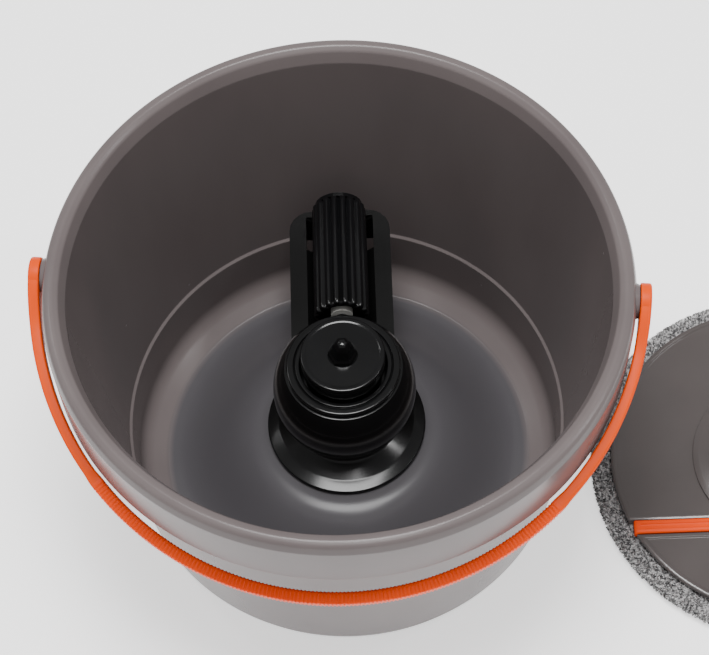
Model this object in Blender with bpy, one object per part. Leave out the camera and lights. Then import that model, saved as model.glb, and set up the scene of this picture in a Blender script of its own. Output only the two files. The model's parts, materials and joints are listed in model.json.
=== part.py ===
"""Spin mop set: a round pail with a wash unit inside it, and the round mop head that it washes.

The wash unit has a free-turning seat for the mop head and a fluted scrubbing roller beside it.
Frame: origin on the pail's axis at the surface it stands on, +Z up, +Y from the seat along the roller,
+X towards the mop head that lies beside the pail. Every size below is in millimetres.
"""
import math

import bmesh
import bpy
from mathutils import Matrix, Vector

MM = 0.001
GAP = 0.35            # air between two pieces that touch

# Pail
PAIL_H = 245.0        # rim top
RIM_R = 190.8         # outside of the rolled rim
RIM_DROP = 46.0       # height of the rim's outer skirt
WALL = 2.8
BASE_R = 150.0        # outside of the wall at the base
TOP_R = 180.0         # outside of the wall under the rim
LEDGE_Z = 54.8        # moulded ledge inside
LEDGE_STEP = 2.0
FLOOR_Z = 5.8         # inside floor
FLOOR_R = 129.8       # flat of the floor ends here
CROWN_Z = 40.0        # raised middle of the floor
CROWN_R = 61.0
FOOT_R = (136.0, 142.0)

# Wash unit, turned about the pail's axis
DISH_R = 56.2
DISH_Z = CROWN_Z + GAP
WAIST_R = 30.0
WAIST_Z = 56.0
BALL_R = 49.6
BALL_Z = 96.0         # height of the ball's centre
BALL_TOP_Z = 124.0
BALL_WALL = 3.0
RING_R = 39.2
RING_Z = 129.0
DISC_R = 28.9         # turning seat
DISC_Z = 143.0
TIP_Z = 160.0
SHAFT_R = 5.0
SCREW_R = 44.0        # circle of the three screws that hold the dish down

# Roller and its cradle
ROLLER_R = 19.2
ROLLER_Z = 119.5
ROLLER_Y = (43.2, 131.5)
ROLLER_FLUTES = 18
FLUTE_DEPTH = 2.4
AXLE_R = 3.0
CRADLE_HALF = 36.0
CRADLE_Z = (72.0, 104.5)
CRADLE_END_Y = 140.0
TROUGH_HALF = (14.0, 24.0)   # at its bottom and at the deck
TROUGH_Z = 96.0
POCKET_W = 6.0
POCKET_Y = (108.0, 133.0)
TROUGH_Y = (36.0, 135.2)

# Bail
BAIL_TURN = -5.4      # degrees that the bail's axis is turned about +Z
BAIL_Z = 230.0
BAIL_HALF = 196.6     # from the pail's axis to the middle of the strap
BAIL_REACH = 199.5    # from the bail's axis to the middle of the grip
BAIL_DROOP = 17.8     # degrees that the resting bail hangs below level
STRAP = (7.2, 9.6)   # across and along the bail's axis of swing
GRIP = (8.4, 12.6)
GRIP_ARC = 48.0       # half angle of the ribbed grip
PIN_R = 2.8
EYE_R = 7.0
EYE_SKIN = 1.2        # what is left outside the blind bore that takes the pin
EAR_R = 8.5

# Mop head
HEAD = (311.0, -28.5)
PAD_R = 135.0
PAD_H = 11.0
PLATE_R = 122.5
PLATE_Z = (12.7, 18.0)
STRIP_Y = -50.5       # chord of the flap's hinge, from the head's centre
STRIP_W = 10.0
HUB_R = 64.0
HUB_Z = 27.0
NECK_R = 21.0
NECK_Z = 36.0
YOKE_Z = 48.0         # lower tilt axis
SOCKET_Z = 66.0       # upper tilt axis
SOCKET_TOP = 128.0
SOCKET_R = 14.0
HANDLE_R = 11.2       # bore that takes the handle tube


def clear_scene():
    for old in list(bpy.data.objects):
        bpy.data.objects.remove(old)


def material(name, colour, roughness, metallic=0.0):
    found = bpy.data.materials.get(name)
    if found:
        return found
    made = bpy.data.materials.new(name)
    made.use_nodes = True
    shader = made.node_tree.nodes["Principled BSDF"]
    shader.inputs["Base Color"].default_value = (*colour, 1.0)
    shader.inputs["Roughness"].default_value = roughness
    shader.inputs["Metallic"].default_value = metallic
    return made


def grey():
    return material("grey_plastic", (0.17, 0.155, 0.155), 0.3)


def black():
    return material("black_plastic", (0.012, 0.012, 0.013), 0.25)


def orange():
    return material("orange_plastic", (0.85, 0.13, 0.01), 0.35)


def steel():
    return material("steel", (0.6, 0.6, 0.6), 0.3, 1.0)


def rubber():
    return material("rubber", (0.02, 0.02, 0.02), 0.8)


def nylon():
    return material("nylon", (0.75, 0.74, 0.7), 0.5)


def fabric():
    return material("microfibre", (0.35, 0.34, 0.34), 0.95)


def add(name, bm, finish, at=(0, 0, 0), turn=None, parent=None):
    """Makes a closed mesh object from a bmesh drawn in millimetres about its own origin."""
    bmesh.ops.scale(bm, vec=(MM, MM, MM), verts=bm.verts)
    bmesh.ops.recalc_face_normals(bm, faces=bm.faces)
    mesh = bpy.data.meshes.new(name)
    bm.to_mesh(mesh)
    bm.free()
    mesh.materials.append(finish)
    mesh.shade_smooth()
    mesh.set_sharp_from_angle(angle=math.radians(35))
    made = bpy.data.objects.new(name, mesh)
    bpy.context.scene.collection.objects.link(made)
    made.location = Vector(at) * MM
    if turn:
        made.rotation_euler = turn
    if parent:
        made.parent = parent
    return made


def lathe(outline, segments=48, centre=(0.0, 0.0), start=0.0):
    """Turns a closed outline of (radius, height) points about an upright axis."""
    bm = bmesh.new()
    rings = []
    for radius, height in outline:
        if radius < 1e-6:
            rings.append([bm.verts.new((centre[0], centre[1], height))] * segments)
            continue
        ring = []
        for k in range(segments):
            a = start + 2 * math.pi * k / segments
            ring.append(bm.verts.new((centre[0] + radius * math.cos(a),
                                      centre[1] + radius * math.sin(a), height)))
        rings.append(ring)
    count = len(rings)
    for i in range(count):
        low, high = rings[i], rings[(i + 1) % count]
        for k in range(segments):
            m = (k + 1) % segments
            corners = []
            for v in (low[k], low[m], high[m], high[k]):
                if v not in corners:
                    corners.append(v)
            if len(corners) > 2:
                bm.faces.new(corners)
    return bm


def prism(outline, low, high, hole=None):
    """An outline of (x, y) points with a height; hole is an outline with the same number of points."""
    bm = bmesh.new()
    loops = [[bm.verts.new((x, y, z)) for x, y in line]
             for line in ([outline] if hole is None else [outline, hole]) for z in (low, high)]
    n = len(outline)
    for bottom, top in zip(loops[0::2], loops[1::2]):
        for k in range(n):
            m = (k + 1) % n
            bm.faces.new((bottom[k], bottom[m], top[m], top[k]))
    for level in (0, 1):
        if hole is None:
            bm.faces.new(loops[level])
            continue
        outer, inner = loops[level], loops[level + 2]
        for k in range(n):
            m = (k + 1) % n
            bm.faces.new((outer[k], outer[m], inner[m], inner[k]))
    return bm


def arc(cx, cy, radius, first, last, steps):
    """Points along an arc, angles in degrees."""
    return [(cx + radius * math.cos(math.radians(first + (last - first) * i / steps)),
             cy + radius * math.sin(math.radians(first + (last - first) * i / steps)))
            for i in range(steps + 1)]


def sleeve(bore, outside, low, high):
    """The section of a plain tube."""
    return [(bore, low), (outside, low), (outside, high), (bore, high)]


def circle(radius, steps=24):
    return arc(0, 0, radius, 0, 360 * (steps - 1) / steps, steps - 1)


def box(x, y, z):
    return prism([(x[0], y[0]), (x[1], y[0]), (x[1], y[1]), (x[0], y[1])], z[0], z[1])


def lay_along_y(bm, y=0.0, z=0.0, x=0.0):
    """Turns a shape drawn about +Z so that it runs along +Y, and moves it there."""
    bmesh.ops.rotate(bm, cent=(0, 0, 0), matrix=Matrix.Rotation(math.radians(-90), 3, "X"), verts=bm.verts)
    bmesh.ops.translate(bm, vec=(x, y, z), verts=bm.verts)
    return bm


def lay_along_x(bm, x=0.0, y=0.0, z=0.0):
    """Turns a shape drawn about +Z so that it runs along +X, and moves it there."""
    bmesh.ops.rotate(bm, cent=(0, 0, 0), matrix=Matrix.Rotation(math.radians(90), 3, "Y"), verts=bm.verts)
    bmesh.ops.translate(bm, vec=(x, y, z), verts=bm.verts)
    return bm


def helper(name, bm):
    """A hidden shape that a Boolean modifier uses."""
    made = add(name, bm, grey())
    made.hide_render = True
    made.display_type = "WIRE"
    return made


def boolean(target, operation, tool):
    modifier = target.modifiers.new(tool.name, "BOOLEAN")
    modifier.operation = operation
    modifier.object = tool
    modifier.solver = "EXACT"


def wall_radius(height):
    """Outside radius of the pail's straight wall at a height."""
    return BASE_R + (TOP_R - BASE_R) * height / PAIL_H


def crown(t, lift):
    """A point on the floor's smooth rise, t = 0 at the top and 1 where the floor is flat."""
    rise = 0.5 + 0.5 * math.cos(math.pi * t)
    return (CROWN_R + (FLOOR_R - 6 - CROWN_R) * t, FLOOR_Z + (CROWN_Z - FLOOR_Z) * rise + lift)


def pail():
    """The pail's section, from the middle of the floor outwards, up the inside and down the outside."""
    inside = [(8.5, CROWN_Z), (CROWN_R, CROWN_Z)]
    inside += [crown(i / 7, 0) for i in range(1, 8)] + [(FLOOR_R, FLOOR_Z)]
    corner = wall_radius(30) - WALL - LEDGE_STEP
    inside += [(FLOOR_R + (corner - FLOOR_R) * math.sin(math.radians(a)),
                FLOOR_Z + 24 * (1 - math.cos(math.radians(a)))) for a in (25, 50, 70, 90)]
    ledge = wall_radius(LEDGE_Z) - WALL
    inside += [(ledge - LEDGE_STEP, LEDGE_Z), (ledge, LEDGE_Z + 0.8)]
    crest = RIM_R - 7.0
    inside += [(wall_radius(PAIL_H - 9) - WALL, PAIL_H - 9), (crest - 4.4, PAIL_H - 2.4), (crest, PAIL_H)]
    outside = [(crest + 4.6, PAIL_H - 1.8), (RIM_R, PAIL_H - 8), (RIM_R - 0.8, PAIL_H - RIM_DROP),
               (RIM_R - 0.8 - WALL, PAIL_H - RIM_DROP), (RIM_R - WALL, PAIL_H - 10),
               (wall_radius(PAIL_H - 12) + 1.0, PAIL_H - 8)]
    outside += [(wall_radius(PAIL_H - 16), PAIL_H - 16), (wall_radius(14), 14)]
    outside += [(BASE_R - 1.5, 4), (BASE_R - 5, 0.8)]
    foot = [(FOOT_R[1], 0), (FOOT_R[0], 0), (FOOT_R[0] - 1.5, FLOOR_Z - WALL)]
    under = [crown(i / 7, -WALL) for i in (6, 5, 4, 3, 2, 1)]
    under += [(CROWN_R - 2, CROWN_Z - WALL), (8.5, CROWN_Z - WALL)]
    shell = add("pail_shell", lathe(inside + outside + foot + under, 64), grey())
    turn = Matrix.Rotation(math.radians(BAIL_TURN), 4, "Z")
    for side, name in ((-1, "ear_left_solid"), (1, "ear_right_solid")):
        near, far = RIM_R - 2.2, BAIL_HALF - STRAP[0] / 2 - 0.4
        ear = lay_along_x(prism(circle(EAR_R), 0, far - near), near if side > 0 else -far, 0, BAIL_Z)
        bmesh.ops.transform(ear, matrix=turn, verts=ear.verts)
        boolean(shell, "UNION", helper(name, ear))
        bore = lay_along_x(prism(circle(PIN_R, 16), 0, 14), RIM_R - 1.0 if side > 0 else -(RIM_R + 13),
                           0, BAIL_Z)
        bmesh.ops.transform(bore, matrix=turn, verts=bore.verts)
        boolean(shell, "DIFFERENCE", helper(name.replace("solid", "bore"), bore))
    for k in range(3):
        a = math.radians(90 + 120 * k)
        hole = lathe([(0, 20), (2.3, 20), (2.3, CROWN_Z + 6), (0, CROWN_Z + 6)], 12,
                     (SCREW_R * math.cos(a), SCREW_R * math.sin(a)), 0.13)
        boolean(shell, "DIFFERENCE", helper("crown_hole_%d" % k, hole))
    return shell


def bail(parent):
    """The strap, drawn level with its axis along X and its middle at -Y, then hung from its empty."""
    bm = bmesh.new()
    steps = 44
    rings = []
    for i in range(steps + 1):
        a = math.pi * i / steps
        x, y = -BAIL_HALF * math.cos(a), -BAIL_REACH * math.sin(a)
        along = Vector((BAIL_HALF * math.sin(a), -BAIL_REACH * math.cos(a), 0)).normalized()
        out = Vector((along.y, -along.x, 0))
        from_mid = abs(math.degrees(a) - 90)
        blend = min(1.0, max(0.0, (GRIP_ARC + 4 - from_mid) / 4))
        thick = (STRAP[0] + (GRIP[0] - STRAP[0]) * blend) / 2
        tall = (STRAP[1] + (GRIP[1] - STRAP[1]) * blend) / 2
        bevel = 1.3
        section = [(thick, -tall + bevel), (thick, tall - bevel), (thick - bevel, tall), (bevel - thick, tall)]
        section += [(-o, -h) for o, h in section]
        rings.append([bm.verts.new(Vector((x, y, 0)) + out * o + Vector((0, 0, h))) for o, h in section])
    for first, second in zip(rings, rings[1:]):
        for k in range(8):
            m = (k + 1) % 8
            bm.faces.new((first[k], first[m], second[m], second[k]))
    bm.faces.new(rings[0])
    bm.faces.new(list(reversed(rings[-1])))
    strap = add("bail_handle", bm, orange(), parent=parent)
    for side, name in ((-1, "left"), (1, "right")):
        inner = BAIL_HALF - STRAP[0] / 2
        start = inner if side > 0 else -inner - STRAP[0]
        eye = lay_along_x(prism(circle(EYE_R, 20), 0, STRAP[0]), start)
        boolean(strap, "UNION", place(helper("eye_" + name, eye), parent))
        deep = inner + STRAP[0] - EYE_SKIN
        bore = lay_along_x(prism(circle(PIN_R + GAP, 16), 0, 12), deep - 12 if side > 0 else -deep, 0, 0)
        boolean(strap, "DIFFERENCE", place(helper("eye_bore_" + name, bore), parent))
    return strap


def place(thing, parent):
    thing.parent = parent
    return thing


def bail_pins():
    """Plain pins pressed into the ears; the bail's eyes turn on them."""
    inner = RIM_R - 1.0 + GAP
    outer = BAIL_HALF + STRAP[0] / 2 - EYE_SKIN - GAP
    for turn, name in ((math.pi, "bail_pin_left"), (0.0, "bail_pin_right")):
        radius = PIN_R - GAP
        outline = [(0, inner), (radius, inner), (radius, outer - 0.6), (radius - 0.6, outer), (0, outer)]
        pin = lay_along_x(lathe(outline, 20))
        bmesh.ops.rotate(pin, cent=(0, 0, 0), matrix=Matrix.Rotation(turn, 3, "Z"), verts=pin.verts)
        add(name, pin, steel(), (0, 0, BAIL_Z), (0, 0, math.radians(BAIL_TURN)))


def ball_outline(offset=0.0):
    """The ball's outside from its waist up to its shoulder."""
    low, high = WAIST_Z + 2, BALL_TOP_Z
    heights = [low + (high - low) * i / 12 for i in range(13)]
    return [(math.sqrt(BALL_R ** 2 - (z - BALL_Z) ** 2) + offset, z) for z in heights]


def wash_unit():
    """Dish, ball, ring, bearings and screws that stand on the pail's raised floor."""
    seat = CROWN_Z - WALL - GAP
    clamp = [(0, 0), (19, 0), (20, 1.2), (15, seat), (8.1, seat), (8.1, 49.5), (0, 49.5)]
    add("centre_clamp", lathe(clamp, 32), black())
    gasket = [(50, DISH_Z), (54.5, DISH_Z), (54.5, DISH_Z + 1.6), (50, DISH_Z + 1.6)]
    add("base_gasket", lathe(gasket, 40), rubber())
    low = DISH_Z + 1.6 + GAP
    dish = [(8.5, low), (DISH_R, low), (DISH_R, low + 2.2), (50, low + 3.6), (42, low + 5.8), (34, low + 9.6),
            (WAIST_R + 0.5, WAIST_Z), (WAIST_R, WAIST_Z + 1.5), (12.5, WAIST_Z + 1.5), (12.5, WAIST_Z - 4),
            (8.5, WAIST_Z - 6)]
    flange = add("base_flange", lathe(dish, 56), black())
    for k in range(3):
        a = math.radians(90 + 120 * k)
        hole = lathe([(0, 36), (1.9, 36), (1.9, low + 3.2), (0, low + 3.2)], 12,
                     (SCREW_R * math.cos(a), SCREW_R * math.sin(a)), 0.13)
        boolean(flange, "DIFFERENCE", helper("flange_hole_%d" % k, hole))
    under = CROWN_Z - WALL
    for k in range(3):
        a = math.radians(90 + 120 * k)
        at = (SCREW_R * math.cos(a), SCREW_R * math.sin(a))
        screw = [(0, under - 4.2), (3.4, under - 4.2), (3.4, under - 1.6), (1.5, under - 1.6),
                 (1.5, low + 2.8), (0, low + 2.8)]
        seal = [(1.9, under - 1.3), (4.2, under - 1.3), (4.2, under - 0.3), (1.9, under - 0.3)]
        add("dish_screw_%d" % (k + 1), lathe(screw, 12, at), steel())
        add("screw_seal_%d" % (k + 1), lathe(seal, 16, at), rubber())

    outer = ball_outline()
    inner = [(r - BALL_WALL, z) for r, z in reversed(outer[1:-1])]
    floor = WAIST_Z + 2
    ball = outer + [(RING_R + 1.0, BALL_TOP_Z + 0.6), (36.0, BALL_TOP_Z + 0.6), (36.0, BALL_TOP_Z - 3)]
    ball += inner
    ball += [(28.0, floor + 3.0), (12.5, floor + 3.0), (12.5, floor)]
    housing = add("ball_housing", lathe(ball, 48), black())
    ring_low = BALL_TOP_Z + 0.6 + GAP
    ring = [(DISC_R + 1.2, ring_low), (RING_R, ring_low), (RING_R, RING_Z - 1.2), (RING_R - 1.2, RING_Z),
            (34.2, RING_Z), (33.4, RING_Z - 1.3), (32.6, RING_Z), (DISC_R + 1.2, RING_Z)]
    add("seat_ring", lathe(ring, 48), black())
    carrier = [(9.0, 112.0), (35.6, 112.0), (35.6, 116.0), (26.0, 117.0), (15.0, 118.0), (15.0, 120.5)]
    add("bearing_carrier", lathe(carrier + [(9.0, 120.5)], 36), black())
    bore = SHAFT_R + GAP
    add("upper_bush", lathe(sleeve(bore, 8.65, 108.5, 121.5), 28), nylon())
    add("lower_bush", lathe(sleeve(bore, 12.1, WAIST_Z - 3, floor + 6), 28), nylon())
    add("thrust_washer", lathe(sleeve(bore, 12.0, 121.9, 122.9), 28), steel())
    return housing


def spindle():
    """The seat that turns freely under the mop head, its shaft and clip."""
    seat_low = 123.25
    disc = [(SHAFT_R + GAP, seat_low), (DISC_R - 1.5, seat_low), (DISC_R - 1.5, RING_Z + 1), (DISC_R, RING_Z + 2.5),
            (DISC_R, DISC_Z - 1.2), (DISC_R - 1.2, DISC_Z), (0, DISC_Z), (0, DISC_Z - 6), (SHAFT_R + GAP, DISC_Z - 6)]
    seat = add("spin_seat", lathe(disc, 48), black())
    hexagon = lathe([(0, DISC_Z - 2), (9.2, DISC_Z - 2), (9.2, DISC_Z + 2.6), (7.4, DISC_Z + 3.6), (0, DISC_Z + 3.6)], 6)
    boolean(seat, "UNION", helper("seat_hexagon", hexagon))
    tip = lathe([(0, DISC_Z), (8.6, DISC_Z + 3), (6.2, DISC_Z + 11), (4.6, TIP_Z - 2), (2.4, TIP_Z - 0.4), (0, TIP_Z)], 12)
    boolean(seat, "UNION", helper("seat_tip", tip))
    shaft_low = WAIST_Z - 5
    groove = WAIST_Z - 3.9
    shaft = [(0, shaft_low), (SHAFT_R - 0.6, shaft_low), (SHAFT_R - 0.6, groove), (SHAFT_R - 0.8, groove + 0.8),
             (SHAFT_R, groove + 1.2), (SHAFT_R, DISC_Z - 6.4), (0, DISC_Z - 6.4)]
    add("spindle_shaft", lathe(shaft, 24), steel())


def cradle():
    """The arm that carries the roller: a deck with a trough, rounded at its far end, open underneath."""
    r = 16.0
    half, end = CRADLE_HALF, CRADLE_END_Y
    plan = [(-half, 20.0), (half, 20.0)] + arc(half - r, end - r, r, 0, 90, 5) + arc(r - half, end - r, r, 90, 180, 5)
    body = add("roller_cradle", prism(plan, *CRADLE_Z), black())
    low_half, high_half = TROUGH_HALF
    sides = [(-low_half, TROUGH_Z), (low_half, TROUGH_Z), (high_half, CRADLE_Z[1]), (high_half, CRADLE_Z[1] + 20),
             (-high_half, CRADLE_Z[1] + 20), (-high_half, CRADLE_Z[1])]
    trough = prism([(x, -z) for x, z in sides], *TROUGH_Y)
    bmesh.ops.rotate(trough, cent=(0, 0, 0), matrix=Matrix.Rotation(math.radians(-90), 3, "X"), verts=trough.verts)
    cutters = {
        "trough": trough,
        "underside": box((3 - half, half - 3), (60, end - 4), (CRADLE_Z[0] - 5, TROUGH_Z - 3)),
        "left_pocket": box((-high_half, POCKET_W - high_half), POCKET_Y, (CRADLE_Z[0] - 5, 150)),
        "right_pocket": box((high_half - POCKET_W, high_half), POCKET_Y, (CRADLE_Z[0] - 5, 150)),
        "ball_clearance": lathe([(0, 58)] + ball_outline(GAP) + [(41.6, 135), (0, 135)], 48),
        "screw_seat_left": lay_along_y(prism(circle(1.9, 12), 0, 24), 30, 84, -20),
        "screw_seat_right": lay_along_y(prism(circle(1.9, 12), 0, 24), 30, 84, 20),
    }
    for name, shape in cutters.items():
        boolean(body, "DIFFERENCE", helper("cradle_" + name, shape))
    ball = bpy.data.objects["ball_housing"]
    window = lay_along_y(prism(circle(ROLLER_R + 0.8, 32), 0, 20), ROLLER_Y[0] - 0.8, ROLLER_Z)
    boolean(ball, "DIFFERENCE", helper("roller_window", window))
    boolean(ball, "UNION", helper("axle_boss", lay_along_y(prism(circle(5.0, 20), 0, 6.0), 36.3, ROLLER_Z)))
    bore = lay_along_y(prism(circle(AXLE_R, 20), 0, 12), 37.2, ROLLER_Z)
    boolean(ball, "DIFFERENCE", helper("axle_boss_bore", bore))
    for side, name in ((-20, "left"), (20, "right")):
        through = lay_along_y(prism(circle(1.9, 12), 0, 14), 34, 84, side)
        boolean(ball, "DIFFERENCE", helper("ball_screw_hole_" + name, through))
        screw = lathe([(0, 33.4), (3.2, 33.4), (3.2, 35.8), (1.5, 35.8), (1.5, 53), (0, 53)], 12)
        add("cradle_screw_" + name, lay_along_y(screw, 0, 84, side), steel())
    return body


def roller():
    """A fluted tube on two bushes that turns on a fixed steel axle."""
    per_flute = 4
    count = ROLLER_FLUTES * per_flute
    outer, inner = [], []
    for k in range(count):
        a = 2 * math.pi * k / count
        wave = (0.0, 0.3, 1.0, 0.3)[k % per_flute]
        radius = ROLLER_R - FLUTE_DEPTH * wave
        outer.append((radius * math.cos(a), radius * math.sin(a)))
        inner.append((8.0 * math.cos(a), 8.0 * math.sin(a)))
    tube = lay_along_y(prism(outer, 0, ROLLER_Y[1] - ROLLER_Y[0], inner), ROLLER_Y[0], ROLLER_Z)
    add("scrub_roller", tube, black())
    for name, y in (("roller_bush_near", ROLLER_Y[0] + 0.5), ("roller_bush_far", ROLLER_Y[1] - 8.5)):
        bush = prism(circle(8.0 - GAP), 0, 8, circle(AXLE_R + GAP))
        add(name, lay_along_y(bush, y, ROLLER_Z), nylon())
    axle = lay_along_y(prism(circle(AXLE_R - 0.3, 20), 0, 96.8), 37.6, ROLLER_Z)
    add("roller_axle", axle, steel())
    y, thick = ROLLER_Y[1] + 0.5, 2.8
    plate = prism([(-12, 0), (12, 0)] + arc(0, ROLLER_Z - TROUGH_Z, 16.8, 0, 180, 14), 0, thick)
    bmesh.ops.rotate(plate, cent=(0, 0, 0), matrix=Matrix.Rotation(math.radians(90), 3, "X"), verts=plate.verts)
    bmesh.ops.translate(plate, vec=(0, y + thick, TROUGH_Z + GAP), verts=plate.verts)
    block = add("axle_block", plate, black())
    bore = lay_along_y(prism(circle(AXLE_R, 20), 0, 20), y - 9, ROLLER_Z)
    boolean(block, "DIFFERENCE", helper("axle_block_bore", bore))


def chord_cut(radius, chord, keep_below, steps=64):
    """The outline of a disc on one side of a chord parallel to X."""
    half = math.degrees(math.acos(min(1.0, abs(chord) / radius)))
    if keep_below:
        return arc(0, 0, radius, 270 - half, 270 + half, steps // 3)
    return arc(0, 0, radius, 270 + half - 360, 270 - half, steps)


def mop_head():
    """Pad, fastener, plate, flap and hub, drawn about the head's own centre."""
    x, y = HEAD
    at = (x, y, 0)
    pad = [(0, 0), (PAD_R - 4, 0), (PAD_R, 3.5), (PAD_R, PAD_H - 2.5), (PAD_R - 3, PAD_H), (0, PAD_H)]
    pad = [(16.0, 0)] + pad[1:-1] + [(16.0, PAD_H)]
    add("mop_pad", lathe(pad, 56), fabric(), at)
    hook_low = PAD_H + GAP
    add("hook_fastener", lathe([(60, hook_low), (104, hook_low), (104, hook_low + 1.0), (60, hook_low + 1.0)], 40),
        fabric(), at)
    low, high = PLATE_Z
    edge = STRIP_Y + STRIP_W / 2
    add("mop_plate", prism(chord_cut(PLATE_R, edge + GAP, False), low, high), grey(), at)
    hole = helper("plate_hole", lathe([(0, low - 5), (17, low - 5), (17, high + 5), (0, high + 5)], 28))
    hole.location = Vector(at) * MM
    boolean(bpy.data.objects["mop_plate"], "DIFFERENCE", hole)
    edge = STRIP_Y - STRIP_W / 2
    add("foot_flap", prism(chord_cut(PLATE_R, edge - GAP, True), low, high), grey(), at)
    reach = math.sqrt(PLATE_R ** 2 - STRIP_Y ** 2) - 1.0
    strip = [(-reach, STRIP_Y - STRIP_W / 2), (reach, STRIP_Y - STRIP_W / 2),
             (reach, STRIP_Y + STRIP_W / 2), (-reach, STRIP_Y + STRIP_W / 2)]
    add("hinge_strip", prism(strip, low, high + 1.2), orange(), at)

    hub = [(19.5, high + GAP), (HUB_R, high + GAP), (HUB_R - 4, high + 1.6), (48, high + 3.6), (36, HUB_Z - 2.4), (28, HUB_Z),
           (NECK_R + 4, HUB_Z + 3), (NECK_R + 4, HUB_Z + 5), (19.5, HUB_Z + 5)]
    cover = add("hub_cover", lathe(hub, 48), grey(), at)
    trim = helper("hub_trim", box((-90, 90), (-90, STRIP_Y + STRIP_W / 2 + GAP), (0, 60)))
    trim.location = Vector(at) * MM
    boolean(cover, "DIFFERENCE", trim)
    cup = [(0, high), (5.4, high - 0.5), (9.2, 7.0), (11.2, 3.0), (11.2, 2.0), (15.2, 2.0), (15.2, high + 0.5),
           (18.9, high + 0.8), (18.9, high + 4), (0, high + 4)]
    add("spindle_socket", lathe(cup, 32), black(), at)
    turn_low = high + 4 + GAP
    neck = [(0, turn_low), (18.9, turn_low), (18.9, HUB_Z + 5 + GAP), (NECK_R + 3.4, HUB_Z + 5 + GAP),
            (NECK_R + 3.4, HUB_Z + 8), (NECK_R - 2, NECK_Z), (0, NECK_Z)]
    turntable = add("turntable", lathe(neck, 32), black(), at)
    lug = prism([(-8, -5.5), (8, -5.5), (8, 5.5), (-8, 5.5)], NECK_Z - 3, YOKE_Z + 5.5)
    tool = helper("lug", lug)
    tool.location = Vector(at) * MM
    boolean(turntable, "UNION", tool)
    bore = helper("lug_bore", lay_along_x(prism(circle(3.0 + GAP, 16), 0, 60), -30, 0, YOKE_Z))
    bore.location = Vector(at) * MM
    boolean(turntable, "DIFFERENCE", bore)


def tilt_joint():
    """Fork, cross pins and the socket for the handle tube, about the head's centre."""
    x, y = HEAD
    at = (x, y, 0)
    cheeks = []
    for side in (-1, 1):
        xs = sorted((side * 8.5, side * 13.0))
        outline = arc(0, 0, 8.0, 180, 360, 10) + [(8.0, SOCKET_Z - YOKE_Z - 9), (-8.0, SOCKET_Z - YOKE_Z - 9)]
        cheek = prism(outline, 0, xs[1] - xs[0])
        bmesh.ops.rotate(cheek, cent=(0, 0, 0), matrix=Matrix(((0, 0, 1), (1, 0, 0), (0, 1, 0))), verts=cheek.verts)
        bmesh.ops.translate(cheek, vec=(xs[0], 0, YOKE_Z), verts=cheek.verts)
        cheeks.append(cheek)
    fork = add("tilt_fork", cheeks[0], black(), at)
    other = helper("fork_cheek", cheeks[1])
    other.location = Vector(at) * MM
    boolean(fork, "UNION", other)
    bridge = helper("fork_bridge", box((-13, 13), (-8, 8), (SOCKET_Z - 9.5, SOCKET_Z - 7.6)))
    bridge.location = Vector(at) * MM
    boolean(fork, "UNION", bridge)
    tongue = helper("fork_tongue", box((-5.5, 5.5), (-4, 4), (SOCKET_Z - 8, SOCKET_Z + 5)))
    tongue.location = Vector(at) * MM
    boolean(fork, "UNION", tongue)
    for name, shape in (("fork_low", lay_along_x(prism(circle(3.0 + GAP, 16), 0, 60), -30, 0, YOKE_Z)),
                        ("fork_high", lay_along_y(prism(circle(2.6 + GAP, 16), 0, 60), -30, SOCKET_Z))):
        bore = helper(name + "_bore", shape)
        bore.location = Vector(at) * MM
        boolean(fork, "DIFFERENCE", bore)
    add("lower_cross_pin", lay_along_x(prism(circle(3.0, 16), 0, 26), -13, 0, YOKE_Z), steel(), at)
    add("upper_cross_pin", lay_along_y(prism(circle(2.6, 16), 0, 27), -13.5, SOCKET_Z), steel(), at)

    base = SOCKET_Z + 9
    tube = [(0, base), (13.4, base), (SOCKET_R, base + 4), (SOCKET_R, SOCKET_TOP - 2), (SOCKET_R - 0.8, SOCKET_TOP),
            (HANDLE_R, SOCKET_TOP), (HANDLE_R, base + 8), (0, base + 8)]
    socket = add("handle_socket", lathe(tube, 32), grey(), at)
    for side in (-1, 1):
        ys = sorted((side * 4.6, side * 10.5))
        ear = helper("socket_ear_%d" % side, box((-5, 5), ys, (SOCKET_Z - 4.5, base + 2)))
        ear.location = Vector(at) * MM
        boolean(socket, "UNION", ear)
    for name, shape in (("socket_pin", lay_along_y(prism(circle(2.6 + GAP, 16), 0, 60), -30, SOCKET_Z)),
                        ("socket_button", lay_along_y(prism(circle(4.4, 20), 0, 12), -SOCKET_R - 6, SOCKET_TOP - 16))):
        bore = helper(name + "_bore", shape)
        bore.location = Vector(at) * MM
        boolean(socket, "DIFFERENCE", bore)
    button = lay_along_y(lathe([(0, 0), (3.2, 0), (4.0, 1.0), (4.0, 5.4), (0, 5.4)], 20), -SOCKET_R - 2.0,
                         SOCKET_TOP - 16)
    add("lock_button", button, orange(), at)


def main():
    clear_scene()
    pivot = bpy.data.objects.new("bail_axis", None)
    bpy.context.scene.collection.objects.link(pivot)
    pivot.location = (0, 0, BAIL_Z * MM)
    pivot.rotation_euler = (math.radians(BAIL_DROOP), 0, math.radians(BAIL_TURN))
    pail()
    wash_unit()
    spindle()
    cradle()
    roller()
    bail(pivot)
    bail_pins()
    mop_head()
    tilt_joint()


main()
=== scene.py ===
"""Looks of the spin mop set: pail with its wash unit and bail, and the round mop head beside it."""

import json
import math
import random

import bmesh
import bpy
from mathutils import Matrix, Vector


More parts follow.
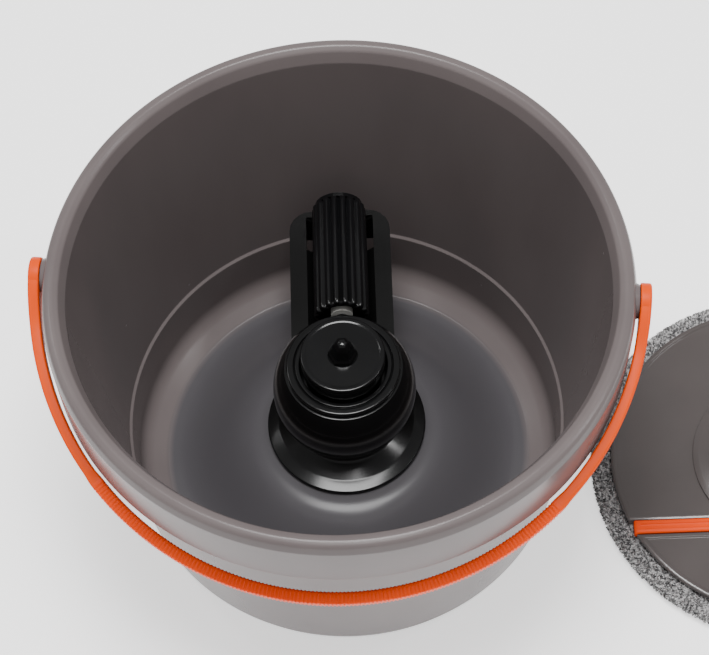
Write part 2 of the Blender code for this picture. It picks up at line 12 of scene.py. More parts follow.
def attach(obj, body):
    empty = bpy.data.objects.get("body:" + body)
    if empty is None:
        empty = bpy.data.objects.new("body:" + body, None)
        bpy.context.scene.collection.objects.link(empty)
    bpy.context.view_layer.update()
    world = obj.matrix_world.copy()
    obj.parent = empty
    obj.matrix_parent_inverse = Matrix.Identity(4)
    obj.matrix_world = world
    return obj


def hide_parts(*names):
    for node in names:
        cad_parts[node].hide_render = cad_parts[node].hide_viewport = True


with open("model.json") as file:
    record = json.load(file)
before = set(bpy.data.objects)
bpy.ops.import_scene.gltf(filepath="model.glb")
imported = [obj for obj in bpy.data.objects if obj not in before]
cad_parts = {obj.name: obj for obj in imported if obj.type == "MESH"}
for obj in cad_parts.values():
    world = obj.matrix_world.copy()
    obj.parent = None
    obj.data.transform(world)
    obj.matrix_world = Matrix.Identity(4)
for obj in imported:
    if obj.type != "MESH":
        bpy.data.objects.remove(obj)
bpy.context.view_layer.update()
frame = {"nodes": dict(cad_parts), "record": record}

MM = 0.001

# Driving sizes in millimetres, as in the part
PAIL_H = 245.0
RIM_R = 190.8
RIM_DROP = 46.0
WALL = 2.8
BASE_R = 150.0
TOP_R = 180.0
LEDGE_Z = 54.8
LEDGE_STEP = 2.0
FLOOR_Z = 5.8
FLOOR_R = 129.8
CROWN_Z = 40.0
CROWN_R = 61.0
FOOT_R = (136.0, 142.0)
DISH_R = 56.2
WAIST_R = 30.0
WAIST_Z = 56.0
BALL_R = 49.6
BALL_Z = 96.0
BALL_TOP_Z = 124.0
BALL_WALL = 3.0
RING_R = 39.2
RING_Z = 129.0
DISC_R = 28.9
DISC_Z = 143.0
TIP_Z = 160.0
ROLLER_R = 19.2
ROLLER_Z = 119.5
ROLLER_Y = (43.2, 131.5)
BAIL_TURN = -5.4
BAIL_Z = 230.0
BAIL_HALF = 196.6
BAIL_REACH = 199.5
BAIL_DROOP = 17.8
STRAP = (7.2, 9.6)
GRIP = (8.4, 12.6)
GRIP_ARC = 48.0
HEAD = (311.0, -28.5)
PAD_R = 135.0
PAD_H = 11.0
PLATE_R = 122.5
PLATE_Z = (12.7, 18.0)
STRIP_Y = -50.5
STRIP_W = 10.0
HUB_R = 64.0
HUB_Z = 27.0

# Sizes of the looks alone, in millimetres and degrees
DISH_LOW = CROWN_Z + 2.3
SHAFT_HOLE_R = 8.5
BEARING_R = 12.5
SEAT_BORE_R = 5.4
SEAT_LOW = 123.3
ROLLER_BORE_R = 8.0
FLUTES = 18
EYE_R = 12.0  # 7.0 in the part; this is the size in the photograph
EAR_R = 11.0  # 8.5 in the part, likewise
PIN_HOLE_R = 3.2
END_FLARE = 11.0  # the strap widens into its eye over this angle
GRIP_FADE = 3.0  # and thickens into the grip over this one
GRIP_RIBS = 132
HUB_BORE_R = 19.5
HINGE_GAP = 0.35
PAD_BORE_R = 16.0
PILE_COUNTS = {"dark": 3400, "mid": 6200, "pale": 6200}
PILE_INSET = 5.0  # the pile's roots stand this far inside the pad's edge
PILE_SPREAD = 9.5  # and those on top reach further in by up to this much
PILE_MIDDLE = 6.2
PILE_ROOT = 3.4
SOFT_NODES = ("roller_cradle", "handle_socket", "turntable", "tilt_fork", "axle_block", "lock_button")
SOFT_EDGE = 0.6

# Steps round and along the shapes
SEGMENTS = 160
CORNER_STEPS = 6
CROWN_STEPS = 24
BALL_STEPS = 40
STRAP_STEPS = 60
STEPS_PER_RIB = 6
STEPS_PER_FLUTE = 10
HUB_STEPS = 143

# Stage, in metres and watts: each lamp has its name, place, width and power
LAMPS = (("overhead", (0.0, 0.02, 2.3), 0.9, 66),
         ("left", (-1.2, 0.9, 1.9), 0.25, 5),
         ("right", (1.3, 0.1, 1.9), 0.2, 4))
LAMP_AIM = (0.05, 0, 0.1)
FLOOR_SIZE = 40.0
FLOOR_DROP = 0.0002
FLOOR_GLOW = 1.0
SKY_STRENGTH = 0.5
CAMERA_PLACE = (0.0200, -0.75821, 1.50190)
CAMERA_TURN = (1.0504434, -0.0145772, -0.0502468)  # pitch, yaw and roll in radians
CAMERA_LENS = 116.785


# Materials

def shader_material(name, colour, roughness, metallic=0.0, coat=0.0, sheen=0.0, specular=0.5):
    """A Principled material and its node tree; uniform values sit on the shader's own sockets."""
    made = bpy.data.materials.new(name)
    made.use_nodes = True
    shader = made.node_tree.nodes["Principled BSDF"]
    shader.inputs["Base Color"].default_value = (*colour, 1.0)
    shader.inputs["Roughness"].default_value = roughness
    shader.inputs["Metallic"].default_value = metallic
    shader.inputs["Coat Weight"].default_value = coat
    shader.inputs["Coat Roughness"].default_value = 0.12
    shader.inputs["Sheen Weight"].default_value = sheen
    shader.inputs["Specular IOR Level"].default_value = specular
    return made, shader


def noise(tree, scale, detail=4.0, stretch=(1, 1, 1)):
    """Noise in the object's own metres."""
    place = tree.nodes.new("ShaderNodeTexCoord")
    mapping = tree.nodes.new("ShaderNodeMapping")
    mapping.inputs["Scale"].default_value = stretch
    made = tree.nodes.new("ShaderNodeTexNoise")
    made.inputs["Scale"].default_value = scale
    made.inputs["Detail"].default_value = detail
    tree.links.new(place.outputs["Object"], mapping.inputs["Vector"])
    tree.links.new(mapping.outputs["Vector"], made.inputs["Vector"])
    return made


def vary_colour(tree, shader, source, dark, light, low=0.35, high=0.65):
    """Colour from dark to light as the noise goes from low to high."""
    ramp = tree.nodes.new("ShaderNodeValToRGB")
    ramp.color_ramp.elements[0].position = low
    ramp.color_ramp.elements[1].position = high
    ramp.color_ramp.elements[0].color = (*dark, 1)
    ramp.color_ramp.elements[1].color = (*light, 1)
    tree.links.new(source.outputs["Fac"], ramp.inputs["Fac"])
    tree.links.new(ramp.outputs["Color"], shader.inputs["Base Color"])


def vary_roughness(tree, shader, source, low, high):
    """Roughness from low to high over the noise's whole range."""
    span = tree.nodes.new("ShaderNodeMapRange")
    span.inputs["To Min"].default_value = low
    span.inputs["To Max"].default_value = high
    tree.links.new(source.outputs["Fac"], span.inputs["Value"])
    tree.links.new(span.outputs["Result"], shader.inputs["Roughness"])


def bump(tree, shader, source, strength, distance):
    """Fine relief from a noise; distance is its height in metres."""
    node = tree.nodes.new("ShaderNodeBump")
    node.inputs["Strength"].default_value = strength
    node.inputs["Distance"].default_value = distance
    tree.links.new(source.outputs["Fac"], node.inputs["Height"])
    tree.links.new(node.outputs["Normal"], shader.inputs["Normal"])


def moulded(name, dark, light, rough, coat=0.2, grain=0.12, specular=0.5):
    """Moulded plastic: cloudy tone, smeared gloss and a very fine ripple."""
    made, shader = shader_material(name, light, rough[0], coat=coat, specular=specular)
    tree = made.node_tree
    cloud = noise(tree, scale=9.0, detail=5.0, stretch=(1, 1, 0.35))
    vary_colour(tree, shader, cloud, dark, light)
    vary_roughness(tree, shader, noise(tree, scale=34.0, detail=6.0), *rough)
    bump(tree, shader, noise(tree, scale=260.0, detail=2.0), strength=grain, distance=0.00008)
    return made


def brushed(name):
    """Bright steel with fine brushed lines."""
    made, shader = shader_material(name, (0.6, 0.6, 0.61), 0.28, metallic=1.0)
    tree = made.node_tree
    lines = noise(tree, scale=420.0, detail=4.0, stretch=(1, 1, 12))
    vary_roughness(tree, shader, lines, low=0.2, high=0.38)
    bump(tree, shader, lines, strength=0.2, distance=0.00003)
    return made


def cloth(name, dark, light):
    """Matt yarn, speckled between two tones."""
    made, shader = shader_material(name, light, 0.95, sheen=0.35)
    tree = made.node_tree
    speck = noise(tree, scale=520.0, detail=3.0)
    vary_colour(tree, shader, speck, dark, light, low=0.42, high=0.58)
    bump(tree, shader, speck, strength=0.9, distance=0.0009)
    return made


def paint_shade_on_pail_floor(finish):
    """Paints shade on the pail's floor: inside the fillet it is coloured a little darker and bluer than the
    walls, standing in for the shade at the bottom of the pail.
    """
    tree = finish.node_tree
    shader = tree.nodes["Principled BSDF"]
    wall = shader.inputs["Base Color"].links[0].from_socket
    place = tree.nodes.new("ShaderNodeTexCoord")
    flat = tree.nodes.new("ShaderNodeVectorMath")
    flat.operation = "MULTIPLY"
    flat.inputs[1].default_value = (1, 1, 0)
    radius = tree.nodes.new("ShaderNodeVectorMath")
    radius.operation = "LENGTH"
    edge = tree.nodes.new("ShaderNodeMapRange")
    edge.inputs["From Min"].default_value = (FLOOR_R - 3) * MM
    edge.inputs["From Max"].default_value = (FLOOR_R + 3) * MM
    edge.inputs["To Min"].default_value = 0.85
    edge.inputs["To Max"].default_value = 0.0
    floor_shade_mix = tree.nodes.new("ShaderNodeMix")
    floor_shade_mix.data_type = "RGBA"
    # painted shade: the darker, bluish colour of the floor inside the fillet
    floor_shade_mix.inputs["B"].default_value = (0.055, 0.054, 0.060, 1)
    tree.links.new(place.outputs["Object"], flat.inputs[0])
    tree.links.new(flat.outputs["Vector"], radius.inputs[0])
    tree.links.new(radius.outputs["Value"], edge.inputs["Value"])
    tree.links.new(edge.outputs["Result"], floor_shade_mix.inputs["Factor"])
    tree.links.new(wall, floor_shade_mix.inputs["A"])
    tree.links.new(floor_shade_mix.outputs["Result"], shader.inputs["Base Color"])


# One finish for each material slot of the record
FINISH = {
    "pail_grey": moulded("pail_grey", (0.110, 0.092, 0.092), (0.130, 0.110, 0.109),
                         rough=(0.2, 0.3), coat=0.0, grain=0.02, specular=0.2),
    "unit_black": moulded("unit_black", (0.002, 0.002, 0.002), (0.004, 0.004, 0.0045),
                          rough=(0.12, 0.22), coat=0.06, grain=0.02, specular=0.26),
    "bail_orange": moulded("bail_orange", (0.70, 0.056, 0.0), (0.78, 0.07, 0.0),
                           rough=(0.34, 0.45), coat=0.0, grain=0.03, specular=0.1),
    "plate_grey": moulded("plate_grey", (0.070, 0.060, 0.058), (0.086, 0.074, 0.072),
                          rough=(0.14, 0.24), coat=0.15, grain=0.02, specular=0.35),
    "steel": brushed("steel"),
    "rubber": moulded("rubber", (0.012, 0.012, 0.012), (0.02, 0.02, 0.02),
                      rough=(0.6, 0.8), coat=0.0, grain=0.6),
    "nylon": moulded("nylon", (0.62, 0.61, 0.57), (0.72, 0.71, 0.67), rough=(0.4, 0.55), coat=0.0),
    "microfibre": cloth("microfibre", (0.05, 0.048, 0.05), (0.42, 0.41, 0.41)),
}
# the pail's floor gets painted shade inside the fillet
paint_shade_on_pail_floor(FINISH["pail_grey"])
CRADLE_BLACK = moulded("cradle_black", (0.0015, 0.0015, 0.0015), (0.003, 0.003, 0.003),
                       rough=(0.3, 0.42), coat=0.0, grain=0.02, specular=0.12)
DEEP_ORANGE = moulded("deep_orange", (0.76, 0.052, 0.0), (0.86, 0.068, 0.0),
                      rough=(0.36, 0.48), coat=0.0, grain=0.05, specular=0.12)
PILE = {
    "dark": cloth("pile_dark", (0.03, 0.029, 0.03), (0.1, 0.098, 0.1)),
    "mid": cloth("pile_mid", (0.2, 0.195, 0.195), (0.34, 0.335, 0.335)),
    "pale": cloth("pile_pale", (0.5, 0.49, 0.49), (0.75, 0.74, 0.74)),
}


# Shapes

def add(name, bm, body, slot, nodes=(), finish=None, sharp=32):
    """A piece drawn in millimetres in the shared frame; it rides on body and stands for the CAD nodes."""
    bmesh.ops.scale(bm, vec=(MM, MM, MM), verts=bm.verts)
    bmesh.ops.recalc_face_normals(bm, faces=bm.faces)
    mesh = bpy.data.meshes.new(name)
    bm.to_mesh(mesh)
    bm.free()
    mesh.materials.append(finish or FINISH[slot])
    mesh.shade_smooth()
    mesh.set_sharp_from_angle(angle=math.radians(sharp))
    made = bpy.data.objects.new(name, mesh)
    bpy.context.scene.collection.objects.link(made)
    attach(made, body)
    if nodes:
        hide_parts(*nodes)
    return made


def rounded(corners, steps=CORNER_STEPS):
    """A closed outline from corners of (x, y) or (x, y, radius), with the radius as a smooth curve."""
    points = []
    count = len(corners)
    for i, corner in enumerate(corners):
        here = Vector(corner[:2])
        radius = corner[2] if len(corner) > 2 else 0.0
        back = Vector(corners[i - 1][:2]) - here
        ahead = Vector(corners[(i + 1) % count][:2]) - here
        if radius <= 0 or back.length < 1e-6 or ahead.length < 1e-6:
            points.append(tuple(here))
            continue
        reach = radius / max(0.05, math.tan(back.angle(ahead) / 2))
        reach = min(reach, 0.47 * back.length, 0.47 * ahead.length)
        first = here + back.normalized() * reach
        last = here + ahead.normalized() * reach
        for s in range(steps + 1):
            t = s / steps
            p = first * (1 - t) ** 2 + here * 2 * t * (1 - t) + last * t * t
            points.append(tuple(p))
    return points


def lathe(outline, segments=SEGMENTS, centre=(0.0, 0.0)):
    """Turns a closed outline of (radius, height) about an upright axis."""
    bm = bmesh.new()
    x, y = centre
    rings = []
    for radius, height in outline:
        if radius < 1e-4:
            rings.append([bm.verts.new((x, y, height))] * segments)
            continue
        ring = []
        for k in range(segments):
            a = 2 * math.pi * k / segments
            ring.append(bm.verts.new((x + radius * math.cos(a), y + radius * math.sin(a), height)))
        rings.append(ring)
    for low, high in zip(rings, rings[1:] + rings[:1]):
        for k in range(segments):
            m = (k + 1) % segments
            corners = list(dict.fromkeys((low[k], low[m], high[m], high[k])))
            if len(corners) > 2:
                bm.faces.new(corners)
    return bm


def stack(loops, closed=False):
    """Skins a stack of equal loops of 3-D points; the ends are filled unless the stack closes on itself."""
    bm = bmesh.new()
    rings = [[bm.verts.new(p) for p in loop] for loop in loops]
    above = rings[1:] + rings[:1] if closed else rings[1:]
    for low, high in zip(rings, above):
        n = len(low)
        for k in range(n):
            m = (k + 1) % n
            bm.faces.new((low[k], low[m], high[m], high[k]))
    if not closed:
        bm.faces.new(rings[0])
        bm.faces.new(list(reversed(rings[-1])))
    return bm


def arc(radius, first, last, steps):
    """Points of a circle from the first angle to the last, in degrees."""
    turns = [math.radians(first + (last - first) * i / steps) for i in range(steps + 1)]
    return [(radius * math.cos(a), radius * math.sin(a)) for a in turns]


def slab(half_x, half_y, radius):
    """A rectangle about the origin with rounded corners."""
    return rounded([(-half_x, -half_y, radius), (half_x, -half_y, radius), (half_x, half_y, radius),
                    (-half_x, half_y, radius)], 4)


def ease(t):
    """Smooth step from 0 to 1."""
    return t * t * (3 - 2 * t)


def along_y(outline, y, segments):
    """Turns an outline of (radius, length) about the roller's axis, starting at y."""
    bm = lathe(outline, segments)
    turn = Matrix.Translation((0, y, ROLLER_Z)) @ Matrix.Rotation(math.radians(-90), 4, "X")
    bmesh.ops.transform(bm, matrix=turn, verts=bm.verts)
    return bm


def cut(piece, bm):
    """Takes a shape in millimetres away from a piece."""
    bmesh.ops.scale(bm, vec=(MM, MM, MM), verts=bm.verts)
    bmesh.ops.recalc_face_normals(bm, faces=bm.faces)
    mesh = bpy.data.meshes.new("cutter")
    bm.to_mesh(mesh)
    bm.free()
    cutter = bpy.data.objects.new("cutter", mesh)
    bpy.context.scene.collection.objects.link(cutter)
    modifier = piece.modifiers.new("cut", "BOOLEAN")
    modifier.operation = "DIFFERENCE"
    modifier.object = cutter
    modifier.solver = "EXACT"
    bpy.context.view_layer.update()
    result = bpy.data.meshes.new_from_object(piece.evaluated_get(bpy.context.evaluated_depsgraph_get()))
    piece.modifiers.clear()
    piece.data = result
    bpy.data.objects.remove(cutter)


def wall_radius(height):
    """The pail's outer wall, which tapers evenly."""
    return BASE_R + (TOP_R - BASE_R) * height / PAIL_H


def crown(t, lift):
    """A point on the floor's smooth rise, t = 0 at the top and 1 where the floor is flat."""
    rise = 0.5 + 0.5 * math.cos(math.pi * t)
    return (CROWN_R + (FLOOR_R - 6 - CROWN_R) * t, FLOOR_Z + (CROWN_Z - FLOOR_Z) * rise + lift)


def pail_section():
    """The pail's outline: out over the floor, up the wall, round the rim and back outside."""
    ledge = wall_radius(LEDGE_Z) - WALL
    corner = wall_radius(30) - WALL - LEDGE_STEP
    crest = RIM_R - 7.0
    skirt = RIM_R - 0.8
    inside = [
        (SHAFT_HOLE_R, CROWN_Z), *[crown(i / CROWN_STEPS, 0) for i in range(CROWN_STEPS + 1)],
        (FLOOR_R + 1, FLOOR_Z, 3), (corner, FLOOR_Z + 8, 32),
        (ledge - LEDGE_STEP, LEDGE_Z - 0.6, 0.9), (ledge, LEDGE_Z + 0.8, 0.9),
        (wall_radius(PAIL_H - 11) - WALL, PAIL_H - 11, 5)]
    rim = [
        (crest - 4.2, PAIL_H - 2.6, 4), (crest, PAIL_H, 4), (crest + 5.2, PAIL_H - 1.6, 4),
        (RIM_R, PAIL_H - 8, 6), (skirt, PAIL_H - RIM_DROP, 1.2), (skirt - WALL, PAIL_H - RIM_DROP, 1.2),
        (RIM_R - WALL, PAIL_H - 10, 3)]
    outside = [
        (wall_radius(PAIL_H - 12) + 1, PAIL_H - 8, 2), (wall_radius(PAIL_H - 16), PAIL_H - 16, 3),
        (wall_radius(14), 14, 8), (BASE_R - 3, 1.2, 5), (FOOT_R[1], 0.0, 1), (FOOT_R[0], 0.0, 1),
        (FOOT_R[0] - 1.5, FLOOR_Z - WALL, 1),
        *[crown(i / CROWN_STEPS, -WALL) for i in range(CROWN_STEPS - 1, 0, -1)],
        (CROWN_R - 2, CROWN_Z - WALL, 2), (SHAFT_HOLE_R, CROWN_Z - WALL)]
    return inside + rim + outside


def make_pail():
    """The pail as one turned shape, and the two ears that its bail hangs from."""
    add("pail", lathe(rounded(pail_section(), 10), 224), "pail", "pail_grey", ["pail_shell"])
    face = BAIL_HALF - STRAP[0] / 2 - 0.4
    ear = rounded([(0, RIM_R - 3), (EAR_R + 1.5, RIM_R - 3), (EAR_R, face, 0.6), (PIN_HOLE_R, face),
                   (PIN_HOLE_R, face - 1), (0, face - 1)], 5)
    for side, name in ((0, "ear_right"), (180, "ear_left")):
        bm = lathe(ear, 48)
        turn = Matrix.Translation((0, 0, BAIL_Z)) @ Matrix.Rotation(math.radians(BAIL_TURN + side), 4, "Z")
        turn = turn @ Matrix.Rotation(math.radians(90), 4, "Y")
        bmesh.ops.transform(bm, matrix=turn, verts=bm.verts)
        add(name, bm, "pail", "pail_grey")


def strap_section(thick, tall):
    """The strap cut across, as (outward, up) points of a rounded rectangle."""
    outward, up, bevel = thick / 2, tall / 2, 1.6
    return rounded([(outward, -up, bevel), (outward, up, bevel), (-outward, up, bevel),
                    (-outward, -up, bevel)], 4)


def strap_angles():
    """Degrees round the bail from one eye to the other, close together along the ribbed grip."""
    first = 90 - GRIP_ARC
    grip_steps = GRIP_RIBS * STEPS_PER_RIB
    angles = [first * i / STRAP_STEPS for i in range(STRAP_STEPS)]
    angles += [first + 2 * GRIP_ARC * i / grip_steps for i in range(grip_steps + 1)]
    angles += [180 - first + first * (i + 1) / STRAP_STEPS for i in range(STRAP_STEPS)]
    return angles


def strap_loop(degrees):
    """The strap's outline at one angle: thicker and ribbed in the grip, and taller towards the eyes."""
    a = math.radians(degrees)
    place = Vector((-BAIL_HALF * math.cos(a), -BAIL_REACH * math.sin(a), 0))
    along = Vector((BAIL_HALF * math.sin(a), -BAIL_REACH * math.cos(a), 0)).normalized()
    out = Vector((along.y, -along.x, 0))
    inside = GRIP_ARC - abs(degrees - 90)
    blend = ease(min(1.0, max(0.0, (inside + GRIP_FADE) / GRIP_FADE)))
    wave = 0.0
    if inside > 0.5:
        rib = math.cos(math.pi * GRIP_RIBS * (degrees - (90 - GRIP_ARC)) / GRIP_ARC)
        wave = 1.0 * max(0.0, rib) - 0.7
    flare = ease(max(0.0, 1.0 - min(degrees, 180 - degrees) / END_FLARE))
    thick = STRAP[0] + (GRIP[0] - STRAP[0]) * blend + wave
    tall = STRAP[1] + (GRIP[1] - STRAP[1]) * blend + 0.8 * wave + (2 * EYE_R - 2.0 - STRAP[1]) * flare
    return [tuple(place + out * o + Vector((0, 0, h))) for o, h in strap_section(thick, tall)]


def make_bail():
    """A flat strap with a thicker ribbed grip across its middle and round eyes at its ends."""
    loops = [strap_loop(degrees) for degrees in strap_angles()]
    bm = stack(loops)
    hang = Matrix.Translation((0, 0, BAIL_Z)) @ Matrix.Rotation(math.radians(BAIL_TURN), 4, "Z")
    hang = hang @ Matrix.Rotation(math.radians(BAIL_DROOP), 4, "X")
    bmesh.ops.transform(bm, matrix=hang, verts=bm.verts)
    strap = add("bail", bm, "bail", "bail_orange", ["bail_handle"], sharp=50)
    strap.data.materials.append(DEEP_ORANGE)
    around = len(loops[0])
    grip_end = STRAP_STEPS + GRIP_RIBS * STEPS_PER_RIB
    for face in strap.data.polygons[STRAP_STEPS * around:grip_end * around]:
        face.material_index = 1
    half = STRAP[0] / 2
    eye = rounded([(PIN_HOLE_R, -half, 0.3), (EYE_R, -half, 1.2), (EYE_R, half, 1.8), (0, half),
                   (0, half - 1.2), (PIN_HOLE_R, half - 1.2)], 5)
    for side, name in ((1, "bail_eye_right"), (-1, "bail_eye_left")):
        bm = lathe(eye, 56)
        move = hang @ Matrix.Translation((side * BAIL_HALF, 0, 0))
        move = move @ Matrix.Rotation(math.radians(90 * side), 4, "Y")
        bmesh.ops.transform(bm, matrix=move, verts=bm.verts)
        add(name, bm, "bail", "bail_orange")


def make_dish():
    """The dish on the pail's floor and the waist that carries the ball."""
    dish = rounded([(SHAFT_HOLE_R, DISH_LOW), (DISH_R, DISH_LOW, 0.6), (DISH_R, DISH_LOW + 2.2, 0.9),
                    (48, DISH_LOW + 4.0, 12), (WAIST_R + 4, DISH_LOW + 9.0, 12), (WAIST_R, WAIST_Z + 1.5),
                    (BEARING_R, WAIST_Z + 1.5), (BEARING_R, WAIST_Z - 4), (SHAFT_HOLE_R, WAIST_Z - 6)], 8)
    add("dish", lathe(dish, 128), "pail", "unit_black", ["base_flange"])


def make_ball():
    """The hollow ball, with a window for the roller's near end and a boss for its axle."""
    low, top = WAIST_Z + 2, BALL_TOP_Z
    heights = [low + (top - low) * i / BALL_STEPS for i in range(BALL_STEPS + 1)]
    shell = [(math.sqrt(BALL_R ** 2 - (z - BALL_Z) ** 2), z) for z in heights]
    inner = [(r - BALL_WALL, z) for r, z in reversed(shell[2:-2:3])]
    shell += [(40.6, top + 0.5), (40.0, top + 0.6), (36, top + 0.6), (36, top - 3)] + inner
    shell += [(28, low + 3), (BEARING_R, low + 3), (BEARING_R, low)]
    ball = add("ball", lathe(shell, 128), "pail", "unit_black", ["ball_housing"])
    room = 0.8
    window = [(0, 0), (ROLLER_R + room, 0), (ROLLER_R + room, 20), (0, 20)]
    cut(ball, along_y(window, ROLLER_Y[0] - room, 96))
    boss = rounded([(3.0, 0), (5.0, 0), (5.0, 6.0, 0.6), (3.0, 6.0, 0.3)])
    add("axle_boss", along_y(boss, 36.3, 48), "pail", "unit_black")


def make_ring():
    """The ring round the seat, with a fine groove in its top."""
    low, bore = BALL_TOP_Z + 0.95, DISC_R + 1.2
    ring = rounded([(bore, low), (RING_R, low, 0.3), (RING_R, RING_Z, 1.4), (34.4, RING_Z, 0.5),
                    (33.7, RING_Z - 1.4, 0.4), (33.0, RING_Z, 0.5), (bore, RING_Z, 0.6)], 5)
    add("retaining_ring", lathe(ring, 128), "pail", "unit_black", ["seat_ring"])


def make_seat():
    """The turning seat and the six-sided nub that drives the mop head."""
    neck = DISC_R - 1.5
    seat = rounded([(SEAT_BORE_R, SEAT_LOW), (neck, SEAT_LOW), (neck, RING_Z + 1, 0.5),
                    (DISC_R, RING_Z + 2.4, 0.8), (DISC_R, DISC_Z, 1.6), (DISC_R - 3, DISC_Z, 1),
                    (DISC_R - 4, DISC_Z - 0.3, 1), (10.5, DISC_Z, 0.3), (SEAT_BORE_R, DISC_Z - 1)], 5)
    add("turning_seat", lathe(seat, 128), "seat", "unit_black", ["spin_seat"])
    loops = []
    for radius, z in ((10.6, DISC_Z - 1.0), (10.4, DISC_Z + 1.6), (10.0, DISC_Z + 2.5), (8.9, DISC_Z + 3.3),
                      (8.3, DISC_Z + 5.0), (7.3, DISC_Z + 8.5), (6.2, DISC_Z + 12.0), (5.0, TIP_Z - 2.6),
                      (3.6, TIP_Z - 1.1), (1.8, TIP_Z - 0.3)):
        soft = 0.18 * radius
        six = rounded([(x, y, soft) for x, y in arc(radius, 0, 300, 5)], 4)
        loops.append([(x, y, z) for x, y in six])
    add("seat_nub", stack(loops), "seat", "unit_black", sharp=45)


def make_roller():
    """Rounded flutes along the roller, with softened ends."""
    count = FLUTES * STEPS_PER_FLUTE

    def fluted(y, inset):
        loop = []
        for k in range(count):
            a = 2 * math.pi * k / count
            groove = (0.5 - 0.5 * math.cos(FLUTES * a)) ** 2.6
            radius = ROLLER_R - inset - 2.4 * groove
            loop.append((radius * math.cos(a), y, ROLLER_Z + radius * math.sin(a)))
        return loop

    def plain(y, radius):
        turns = [2 * math.pi * k / count for k in range(count)]
        return [(radius * math.cos(a), y, ROLLER_Z + radius * math.sin(a)) for a in turns]

    near, far = ROLLER_Y
    loops = [plain(near + 5, ROLLER_BORE_R), plain(near + 5, 13.6), plain(near, 14.2),
             fluted(near, 1.2), fluted(near + 0.5, 0.4), fluted(near + 1.3, 0.0), fluted(near + 4.0, 0.0),
             fluted(far - 3.0, 0.0), fluted(far - 0.8, 0.2), fluted(far, 1.0),
             plain(far, 12.6), plain(far, ROLLER_BORE_R)]
    add("fluted_roller", stack(loops, closed=True), "roller", "unit_black", ["scrub_roller"], sharp=40)


def chord_loop(inset, z, low_side):
    """The plate's outline, or its flap's, moved in by inset."""
    radius = PLATE_R - inset
    edge = STRIP_W / 2 + HINGE_GAP + inset
    chord = STRIP_Y - edge if low_side else STRIP_Y + edge
    half = math.degrees(math.acos(min(1.0, -chord / radius)))
    line = arc(radius, 270 - half, 270 + half, 72) if low_side else arc(radius, half - 90, 270 - half, 200)
    return [(HEAD[0] + x, HEAD[1] + y, z) for x, y in line]


def make_head():
    """The plate and its flap, the strip that joins them, the hub cover and the pad."""
    low, high = PLATE_Z
    levels = [(1.0, low), (0.2, low + 0.5), (0.0, low + 1.4), (0.0, high - 1.0), (0.35, high - 0.3),
              (1.0, high), (2.6, high), (3.3, high - 0.25), (4.0, high - 0.8), (4.8, high - 0.95)]
    for low_side, name, body, node in ((False, "head_plate", "head", "mop_plate"),
                                       (True, "flap_plate", "flap", "foot_flap")):
        loops = [chord_loop(inset, z, low_side) for inset, z in levels]
        add(name, stack(loops), body, "plate_grey", [node])
    make_strip()
    make_hub()
    make_pad()


def make_strip():
    """The flexible strip, with a shallow groove along its top."""
    low, high = PLATE_Z
    reach = math.sqrt(PLATE_R ** 2 - STRIP_Y ** 2) - 1.0
    bar = ((0.6, low), (0.0, low + 0.6), (0.0, high + 0.2), (0.5, high + 0.9), (1.2, high + 1.2))
    groove = ((2.2, high + 1.2), (1.5, high + 0.5), (1.0, high + 0.4))
    levels = [(reach - inset, STRIP_W / 2 - inset, 1.2, z) for inset, z in bar]
    levels += [(reach - 4, half_y, 0.4, z) for half_y, z in groove]
    loops = []
    for half_x, half_y, radius, z in levels:
        loops.append([(HEAD[0] + x, HEAD[1] + STRIP_Y + y, z) for x, y in slab(half_x, half_y, radius)])
    add("flex_strip", stack(loops), "head", "bail_orange", ["hinge_strip"], finish=DEEP_ORANGE)


def make_hub():
    """The raised cover in the middle, cut off along the flap's hinge."""
    high = PLATE_Z[1]
    low = high - 0.8
    edge = STRIP_Y + STRIP_W / 2 + HINGE_GAP
    last = 360 * HUB_STEPS / (HUB_STEPS + 1)
    section = rounded([(HUB_R, low), (HUB_R, high + 0.5, 0.5), (HUB_R - 4, high + 1.5, 6),
                       (48, high + 3.6, 14), (36, HUB_Z - 2.4, 10), (30, HUB_Z - 0.6, 3),
                       (26.5, HUB_Z + 2, 3), (24.9, HUB_Z + 5, 1), (HUB_BORE_R, HUB_Z + 5)], 6)
    loops = []
    for radius, z in section + [(HUB_BORE_R, low)]:
        loops.append([(HEAD[0] + x, HEAD[1] + max(y, edge), z) for x, y in arc(radius, 0, last, HUB_STEPS)])
    add("hub_dome", stack(loops, closed=True), "head", "plate_grey", ["hub_cover"])


def make_pad():
    """A thick disc with a pile of small loops standing out all round its edge."""
    low, high = 0.4, PAD_H - 0.5
    core = rounded([(PAD_BORE_R, low), (PAD_R - 4, low, 4), (PAD_R - 1.5, 5, 4), (PAD_R - 3, high, 4),
                    (PAD_BORE_R, high)], 8)
    pad = add("pad", lathe(core, 256, HEAD), "head", "microfibre", ["mop_pad"])
    dice = random.Random(7)
    for tone, count in PILE_COUNTS.items():
        bm = bmesh.new()
        for _ in range(count):
            turn = dice.uniform(0, 2 * math.pi)
            lean = dice.uniform(-0.35, 1.55)
            ring = PAD_R - PILE_INSET - (dice.uniform(0, PILE_SPREAD) if lean > 0.9 else 0.0)
            out = Vector((math.cos(turn), math.sin(turn), 0))
            side = Vector((-math.sin(turn), math.cos(turn), 0))
            rise = out * math.cos(lean) + Vector((0, 0, 1)) * math.sin(lean)
            root = out * ring + Vector((0, 0, PILE_MIDDLE)) + rise * PILE_ROOT
            tuft(bm, root + Vector((*HEAD, 0)), rise, side, dice)
        add("pad_pile_" + tone, bm, "head", "microfibre", finish=PILE[tone], sharp=80)


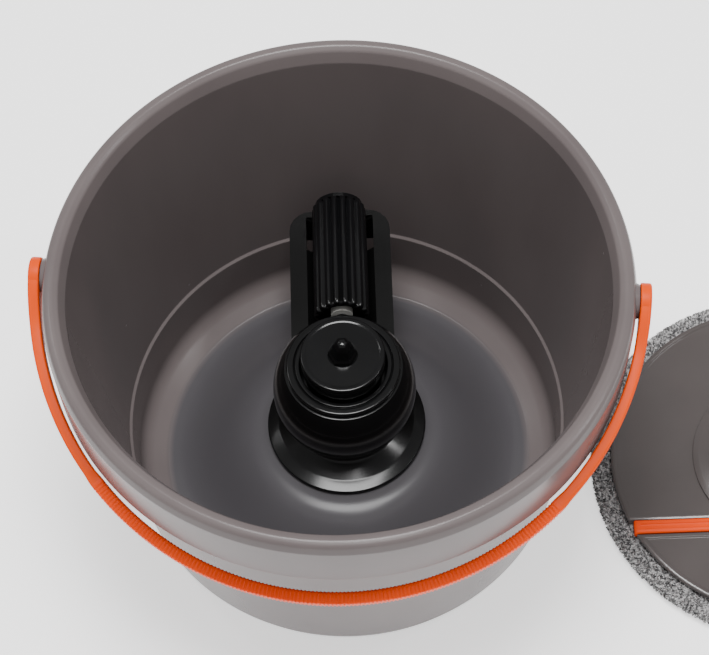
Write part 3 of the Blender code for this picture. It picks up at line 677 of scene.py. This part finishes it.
def tuft(bm, root, rise, side, dice):
    """One loop of yarn: a small bent three-sided tube."""
    reach = dice.uniform(2.2, 4.6)
    swing = dice.uniform(-1.6, 1.6)
    thick = dice.uniform(0.32, 0.55)
    across = rise.cross(side)
    rings = []
    for s, hump in ((0.0, 0.0), (0.45, 0.75), (0.8, 1.0), (1.0, 0.62)):
        middle = root + rise * reach * hump * 0.75 + side * swing * s + across * dice.uniform(-0.5, 0.5)
        width = thick * (1.0 - 0.25 * s)
        ring = []
        for k in range(3):
            a = 2 * math.pi * k / 3
            p = middle + side * width * math.cos(a) + across * width * math.sin(a)
            p.z = max(p.z, 0.4)
            ring.append(bm.verts.new(p))
        rings.append(ring)
    for low, high in zip(rings, rings[1:]):
        for k in range(3):
            m = (k + 1) % 3
            bm.faces.new((low[k], low[m], high[m], high[k]))
    bm.faces.new(rings[0])
    bm.faces.new(list(reversed(rings[-1])))


def finish_cad_nodes():
    """Gives each CAD node its slot's material, and softens the edges of those that still show."""
    slots = {s["node"]: s["material_slot"] for s in frame["record"]["subparts"]}
    for name, node in frame["nodes"].items():
        for place in node.material_slots:
            place.material = CRADLE_BLACK if name == "roller_cradle" else FINISH[slots[name]]
    for name in SOFT_NODES:
        soft = frame["nodes"][name].modifiers.new("soft_edges", "BEVEL")
        soft.width = SOFT_EDGE * MM
        soft.segments = 2
        soft.limit_method = "ANGLE"
        soft.angle_limit = math.radians(40)
        soft.harden_normals = False


# Stage, light and camera

def make_stage():
    """A pale floor that glows a little, a white sky and three soft lamps."""
    bpy.ops.mesh.primitive_plane_add(size=FLOOR_SIZE, location=(0, 0, -FLOOR_DROP))
    floor = bpy.context.object
    floor.name = "floor"
    made, shader = shader_material("floor_white", (0.95, 0.95, 0.95), 0.9, specular=0.1)
    shader.inputs["Emission Color"].default_value = (1.0, 1.0, 1.0, 1.0)
    shader.inputs["Emission Strength"].default_value = FLOOR_GLOW
    floor.data.materials.append(made)
    world = bpy.data.worlds.new("studio")
    world.use_nodes = True
    sky = world.node_tree.nodes["Background"]
    sky.inputs["Color"].default_value = (1.0, 1.0, 1.0, 1)
    sky.inputs["Strength"].default_value = SKY_STRENGTH
    bpy.context.scene.world = world
    for name, place, width, power in LAMPS:
        lamp = bpy.data.lights.new(name, "AREA")
        lamp.energy = power
        lamp.size = width
        made = bpy.data.objects.new(name, lamp)
        made.location = place
        aim = Vector(LAMP_AIM) - Vector(place)
        made.rotation_euler = aim.to_track_quat("-Z", "Y").to_euler()
        bpy.context.scene.collection.objects.link(made)


def make_camera():
    """Looks down at the pail from in front, at 60 degrees below level, turned and rolled a little."""
    pitch, yaw, roll = CAMERA_TURN
    ahead = Vector((math.sin(yaw) * math.cos(pitch), math.cos(yaw) * math.cos(pitch), -math.sin(pitch)))
    right = Vector((math.cos(yaw), -math.sin(yaw), 0))
    up = right.cross(ahead)
    turned_right = right * math.cos(roll) + up * math.sin(roll)
    turned_up = up * math.cos(roll) - right * math.sin(roll)
    data = bpy.data.cameras.new("camera")
    data.sensor_fit = "HORIZONTAL"
    data.sensor_width = 36
    data.lens = CAMERA_LENS
    data.clip_start = 0.05
    camera = bpy.data.objects.new("camera", data)
    matrix = Matrix((turned_right, turned_up, -ahead)).transposed().to_4x4()
    camera.matrix_world = Matrix.Translation(CAMERA_PLACE) @ matrix
    bpy.context.scene.collection.objects.link(camera)
    bpy.context.scene.camera = camera


make_pail()
make_bail()
make_dish()
make_ball()
make_ring()
make_seat()
make_roller()
make_head()
finish_cad_nodes()
make_stage()
make_camera()
